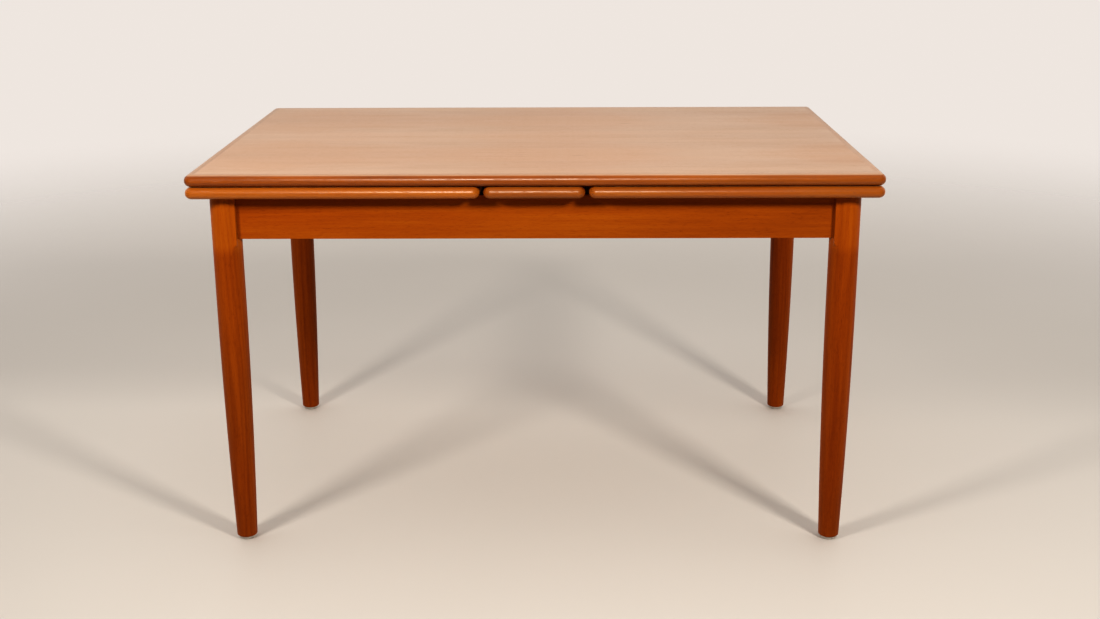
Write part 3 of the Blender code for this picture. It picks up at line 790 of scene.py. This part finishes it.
def make_long_aprons():
    for seed, name in enumerate(("apron_front", "apron_back")):
        low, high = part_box(name)
        material = apron_teak(f"{name}_teak", "X", 30 + seed, low, high)
        bm = box_bm(low, high, APRON_EDGE, along=0)
        add_piece(f"{name}_fine", bm, material, "frame", name)


def notched_outline(low, high, notches):
    """A rail's (y, z) outline with open notches in its top."""
    points = [(low.y, low.z), (high.y, low.z), (high.y, high.z)]
    for start, end, floor in sorted(notches, reverse=True):
        points += [(end, high.z), (end, floor), (start, floor), (start, high.z)]
    return points + [(low.y, high.z)]


def bearer_notches(bearers, depth_of):
    """(start, end, floor) of the notch that each bearer runs in."""
    notches = []
    for bearer in bearers:
        low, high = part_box(bearer)
        notches.append((low.y - NOTCH_CLEARANCE, high.y + NOTCH_CLEARANCE, depth_of(low)))
    return notches


NOTCH_CLEARANCE = 1.0 * MM
CROSS_RAIL_NOTCH = 50.0 * MM
BEARER_EDGE = 1.5 * MM
BEARERS = {side: [f"{side}_leaf_bearer_{end}" for end in ("front", "back")] for side in ("left", "right")}


def make_notched_rails():
    for seed, side in enumerate(("left", "right")):
        name = f"apron_{side}"
        low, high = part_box(name)
        notches = bearer_notches(BEARERS[side], lambda box_low: box_low.z - NOTCH_CLEARANCE)
        bm = outline_bm(notched_outline(low, high, notches), low.x, high.x, APRON_EDGE, axes=(1, 2, 0))
        material = apron_teak(f"{name}_teak", "Y", 34 + seed, low, high)
        add_piece(f"{name}_fine", bm, material, "frame", name)
        name = f"cross_rail_{side}"
        low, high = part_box(name)
        floor = high.z - CROSS_RAIL_NOTCH
        notches = bearer_notches(BEARERS["left"] + BEARERS["right"], lambda box_low: floor)
        bm = outline_bm(notched_outline(low, high, notches), low.x, high.x, APRON_EDGE, axes=(1, 2, 0))
        material = beech(f"{name}_beech", "Y", 38 + seed, (low, high))
        add_piece(f"{name}_fine", bm, material, "frame", name)


def make_bearers():
    for seed, side in enumerate(("left", "right")):
        body = f"{side}_leaf"
        for number, name in enumerate(BEARERS[side]):
            low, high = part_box(name)
            material = beech(f"{name}_beech", "X", 42 + 2 * seed + number, (low, high))
            add_piece(f"{name}_fine", box_bm(low, high, BEARER_EDGE), material, body, name)
            make_bearer_screws(name, body, side, low, high)


SCREW_HEAD = 4.2 * MM
SCREW_FACE = 0.94
SCREW_NECK = 0.5
SCREW_RIM = 0.25 * MM
SCREW_SINK = 0.05 * MM
SCREW_STEPS = 40
SCREW_PLACES = (0.20, 0.40, 0.62)
SCREW_DEPTH = 2.4 * MM
SLOT_REACH = 2.6 * MM
SLOT_WIDTH = 0.55 * MM
SLOT_DEPTH = 0.9 * MM


def screw_bm():
    """A countersunk screw head with its face on +Z."""
    outline = [
        (0.0, 0.0),
        (SCREW_HEAD * SCREW_FACE, 0.0),
        (SCREW_HEAD, -SCREW_RIM),
        (SCREW_HEAD * SCREW_NECK, -SCREW_DEPTH),
        (0.0, -SCREW_DEPTH),
    ]
    return lathe_bm(outline, SCREW_STEPS)


def add_screw(name, body, place, direction):
    """A screw head whose face looks along direction, sunk flush at place, with a cross slot cut in it."""
    turn = Vector((0.0, 0.0, 1.0)).rotation_difference(Vector(direction)).to_matrix().to_4x4()
    matrix = Matrix.Translation(place) @ turn
    bm = screw_bm()
    bm.transform(matrix)
    piece = add_piece(name, bm, SHARED["steel"], body)
    half = Vector((SLOT_REACH, SLOT_WIDTH, SLOT_DEPTH))
    for angle in (45.0, 135.0):
        cut = box_bm(-half, half)
        cut.transform(matrix @ Matrix.Rotation(math.radians(angle), 4, "Z"))
        subtract(piece, cut)


def make_bearer_screws(name, body, side, low, high):
    """Three screws up through each bearer into its leaf."""
    leaf_low, leaf_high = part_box(f"{side}_leaf_panel")
    outer, inner = (leaf_low.x, leaf_high.x) if side == "left" else (leaf_high.x, leaf_low.x)
    for number, share in enumerate(SCREW_PLACES):
        place = Vector((outer + (inner - outer) * share, (low.y + high.y) / 2, low.z + SCREW_SINK))
        add_screw(f"{name}_screw_{number}", body, place, (0, 0, -1))


# ---------------------------------------------------------------- corner blocks, bolts and glides
BLOCK_NEAR = 50.0 * MM
BLOCK_FAR = 88.0 * MM
BLOCK_FACE = 8.3 * MM
BLOCK_EDGE = 0.8 * MM
BOLT_INNER = 12.0 * MM
BOLT_OUTER = 83.0 * MM
BOLT_RADIUS = 3.5 * MM
THREAD_PITCH = 1.25 * MM
THREAD_DEPTH = 0.55 * MM
THREAD_START = 1.2 * MM
THREAD_PAST_NUT = 6.0 * MM
BOLT_TIP = 1.0 * MM
BOLT_TIP_DROP = 0.8 * MM
WASHER_GAP = 0.3 * MM
WASHER_EASE = 0.3 * MM
WASHER_RADIUS = 10.0 * MM
WASHER_THICKNESS = 1.6 * MM
NUT_RADIUS = 7.5 * MM
NUT_THICKNESS = 6.5 * MM
NUT_CHAMFER = 0.7 * MM
NUT_CHAMFER_RISE = 0.42 * MM


def bolt_bm():
    """The threaded hanger bolt with washer and nut, along +Z from the leg's axis."""
    face = (BLOCK_FAR + BLOCK_FACE) / math.sqrt(2) + WASHER_GAP
    bolt = [
        (0.0, BOLT_OUTER),
        (BOLT_RADIUS - BOLT_TIP, BOLT_OUTER),
        (BOLT_RADIUS - THREAD_DEPTH, BOLT_OUTER - BOLT_TIP_DROP),
    ]
    height = BOLT_OUTER - THREAD_START
    while height > face - THREAD_PAST_NUT:
        bolt.append((BOLT_RADIUS, height))
        bolt.append((BOLT_RADIUS - THREAD_DEPTH, height - THREAD_PITCH / 2))
        height -= THREAD_PITCH
    bolt += [(BOLT_RADIUS, height), (BOLT_RADIUS, BOLT_INNER), (0.0, BOLT_INNER)]
    bm = lathe_bm(bolt, 32)
    nut_low = face + WASHER_THICKNESS
    nut_high = nut_low + NUT_THICKNESS
    rim = arc((WASHER_RADIUS - WASHER_EASE, nut_low - WASHER_EASE), WASHER_EASE, 90, 0, 4)
    washer = [(0.0, nut_low), *rim, (WASHER_RADIUS, face), (0.0, face)]
    nut = [
        (0.0, nut_high),
        (NUT_RADIUS - NUT_CHAMFER, nut_high),
        (NUT_RADIUS, nut_high - NUT_CHAMFER_RISE),
        (NUT_RADIUS, nut_low + NUT_CHAMFER_RISE),
        (NUT_RADIUS - NUT_CHAMFER, nut_low),
        (0.0, nut_low),
    ]
    for outline, steps in ((washer, 40), (nut, 6)):
        part = lathe_bm(outline, steps)
        mesh = bpy.data.meshes.new("fastener")
        part.to_mesh(mesh)
        part.free()
        bm.from_mesh(mesh)
        bpy.data.meshes.remove(mesh)
    return bm


def diagonal(height):
    """Turns +Z onto the corner's diagonal, into the table, at one height."""
    return Matrix.Translation((0, 0, height)) @ Euler((0, math.pi / 2, math.pi / 4)).to_matrix().to_4x4()


def make_corners():
    for seed, corner in enumerate(CORNERS):
        matrix = corner_matrix(corner)
        low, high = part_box(f"corner_block_{corner}")
        near, far, face = BLOCK_NEAR, BLOCK_FAR, BLOCK_FACE
        outline = [(near, face), (far, face), (face, far), (face, near)]
        block = outline_bm(outline, low.z, high.z, BLOCK_EDGE)
        block.transform(matrix)
        material = beech(f"corner_block_{corner}_beech", "X", 50 + seed)
        add_piece(f"corner_block_{corner}_fine", block, material, "frame", f"corner_block_{corner}")
        bolt = bolt_bm()
        bolt.transform(matrix @ diagonal((low.z + high.z) / 2))
        name = f"corner_bolt_{corner}"
        add_piece(f"{name}_fine", bolt, SHARED["steel"], "frame", name)
        glide = glide_bm(*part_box(f"glide_{corner}"))
        glide.transform(matrix)
        add_piece(f"glide_{corner}_fine", glide, SHARED["nylon"], "frame", f"glide_{corner}")


GLIDE_DISC = 5.7 * MM
GLIDE_STEP = 0.6 * MM
GLIDE_DOME = 2.2 * MM
GLIDE_NAIL = 1.8 * MM
GLIDE_STEPS = 72
LOCATING_PEG_ROUNDING = 2.0 * MM
STOP_PEG_ROUNDING = 1.0 * MM
FELT_ROUNDING = 0.4 * MM


def glide_bm(low, high):
    """A domed disc with a moulded step, and the nail above it."""
    radius = (high.x - low.x) / 2
    outline = [(0.0, high.z), (GLIDE_NAIL, high.z - 2 * GLIDE_NAIL), (GLIDE_NAIL, GLIDE_DISC)]
    outline += arc((radius - GLIDE_STEP, GLIDE_DISC - GLIDE_STEP), GLIDE_STEP, 90, 0, 4)
    outline += arc((radius - GLIDE_DOME, GLIDE_DOME), GLIDE_DOME, 0, -90, 8)
    outline += [(0.0, 0.0)]
    return lathe_bm(outline, GLIDE_STEPS)


def make_pegs():
    for corner in CORNERS:
        node = f"locating_peg_{corner}"
        peg = peg_bm(*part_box(node), LOCATING_PEG_ROUNDING)
        add_piece(f"{node}_fine", peg, SHARED["peg"], "top", node)
        node = f"felt_pad_{corner}"
        pad = peg_bm(*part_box(node), FELT_ROUNDING)
        add_piece(f"{node}_fine", pad, SHARED["felt"], "top", node)
    for side in ("left", "right"):
        for end in ("front", "back"):
            node = f"{side}_leaf_stop_peg_{end}"
            peg = peg_bm(*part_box(node), STOP_PEG_ROUNDING)
            add_piece(f"{node}_fine", peg, SHARED["peg"], f"{side}_leaf", node)


def peg_bm(low, high, rounding):
    """A round peg that fills a box, its ends rounded."""
    radius = (high.x - low.x) / 2
    outline = [(0.0, high.z)]
    outline += arc((radius - rounding, high.z - rounding), rounding, 90, 0, 6)
    outline += arc((radius - rounding, low.z + rounding), rounding, 0, -90, 6)
    outline += [(0.0, low.z)]
    bm = lathe_bm(outline, 48)
    bmesh.ops.translate(bm, vec=((low.x + high.x) / 2, (low.y + high.y) / 2, 0.0), verts=bm.verts)
    return bm


# ---------------------------------------------------------------- stage
def make_stage():
    bm = bmesh.new()
    bmesh.ops.create_grid(bm, x_segments=1, y_segments=1, size=FLOOR_SIZE / 2)
    mesh = bpy.data.meshes.new("floor")
    bm.to_mesh(mesh)
    bm.free()
    mesh.materials.append(floor_material())
    floor = bpy.data.objects.new("floor", mesh)
    bpy.context.scene.collection.objects.link(floor)


def add_area_light(name, place, target, size, power, spread=math.pi):
    data = bpy.data.lights.new(name, "AREA")
    data.shape = "RECTANGLE"
    data.size, data.size_y = size
    data.energy = power
    data.color = KEY_COLOR
    data.spread = spread
    light = bpy.data.objects.new(name, data)
    light.location = place
    aim = Vector(target) - Vector(place)
    light.rotation_euler = aim.to_track_quat("-Z", "Y").to_euler()
    light.visible_camera = False
    bpy.context.scene.collection.objects.link(light)
    return light


def make_world():
    """A room that is bright behind and above the table and dim in front; the camera sees a plain backdrop."""
    world = bpy.data.worlds.new("studio")
    world.use_nodes = True
    tree = world.node_tree
    background = tree.nodes["Background"]
    direction = tree.nodes.new("ShaderNodeTexCoord").outputs["Generated"]
    split = tree.nodes.new("ShaderNodeSeparateXYZ")
    tree.links.new(direction, split.inputs[0])
    lift = tree.nodes.new("ShaderNodeMath")
    lift.operation = "MULTIPLY_ADD"
    tree.links.new(split.outputs["Z"], lift.inputs[0])
    lift.inputs[1].default_value = 0.55
    tree.links.new(split.outputs["Y"], lift.inputs[2])
    slope = tree.nodes.new("ShaderNodeMapRange")
    slope.interpolation_type = "SMOOTHSTEP"
    tree.links.new(lift.outputs[0], slope.inputs["Value"])
    slope.inputs["From Min"].default_value = -0.35
    slope.inputs["From Max"].default_value = 0.45
    room = tree.nodes.new("ShaderNodeMix")
    room.data_type = "RGBA"
    tree.links.new(slope.outputs["Result"], room.inputs["Factor"])
    room.inputs[6].default_value = (*ROOM_GLOW, 1.0)
    room.inputs[7].default_value = (*WALL_GLOW, 1.0)
    seen = tree.nodes.new("ShaderNodeMix")
    seen.data_type = "RGBA"
    tree.links.new(tree.nodes.new("ShaderNodeLightPath").outputs["Is Camera Ray"], seen.inputs["Factor"])
    tree.links.new(room.outputs[2], seen.inputs[6])
    seen.inputs[7].default_value = (*BACKDROP_COLOR, 1.0)
    tree.links.new(seen.outputs[2], background.inputs["Color"])
    bpy.context.scene.world = world


def make_lights():
    """Two small key lights, kept out of reflections so that they leave no glare on the boards."""
    for side, place, power in KEYS:
        key = add_area_light(f"key_{side}", place, KEY_TARGET, (KEY_SIZE, KEY_SIZE), power, KEY_SPREAD)
        key.visible_glossy = False


def make_strip(noses):
    """A long soft light that only glints on the boards' half-round edges."""
    strip = add_area_light("strip", STRIP_PLACE, KEY_TARGET, STRIP_SIZE, STRIP_POWER)
    strip.visible_diffuse = False
    lit = bpy.data.collections.new("strip_lit")
    for piece in noses:
        lit.objects.link(piece)
    strip.light_linking.receiver_collection = lit


def make_camera():
    data = bpy.data.cameras.new("camera")
    data.lens = CAMERA_LENS
    data.sensor_width = SENSOR_WIDTH
    data.clip_end = 200.0
    camera = bpy.data.objects.new("camera", data)
    camera.location = CAMERA_PLACE
    upright = Matrix.Rotation(CAMERA_YAW, 4, "Z") @ Matrix.Rotation(math.pi / 2 - CAMERA_PITCH, 4, "X")
    camera.rotation_euler = (upright @ Matrix.Rotation(CAMERA_ROLL, 4, "Z")).to_euler()
    bpy.context.scene.collection.objects.link(camera)
    bpy.context.scene.camera = camera


# ---------------------------------------------------------------- build
NOSES = []
SHARED = {
    "steel": steel_material("zinc_steel"),
    "nylon": nylon_material("glide_nylon"),
    "felt": felt_material("brown_felt"),
    "peg": beech("peg_beech", "Z", 60),
}

bpy.context.scene.view_settings.view_transform = "Standard"
bpy.context.scene.view_settings.look = "High Contrast"
make_camera()
make_stage()
make_lights()
make_world()
make_legs()
make_long_aprons()
make_notched_rails()
make_bearers()
make_corners()
make_pegs()
make_boards()
make_strip(NOSES)
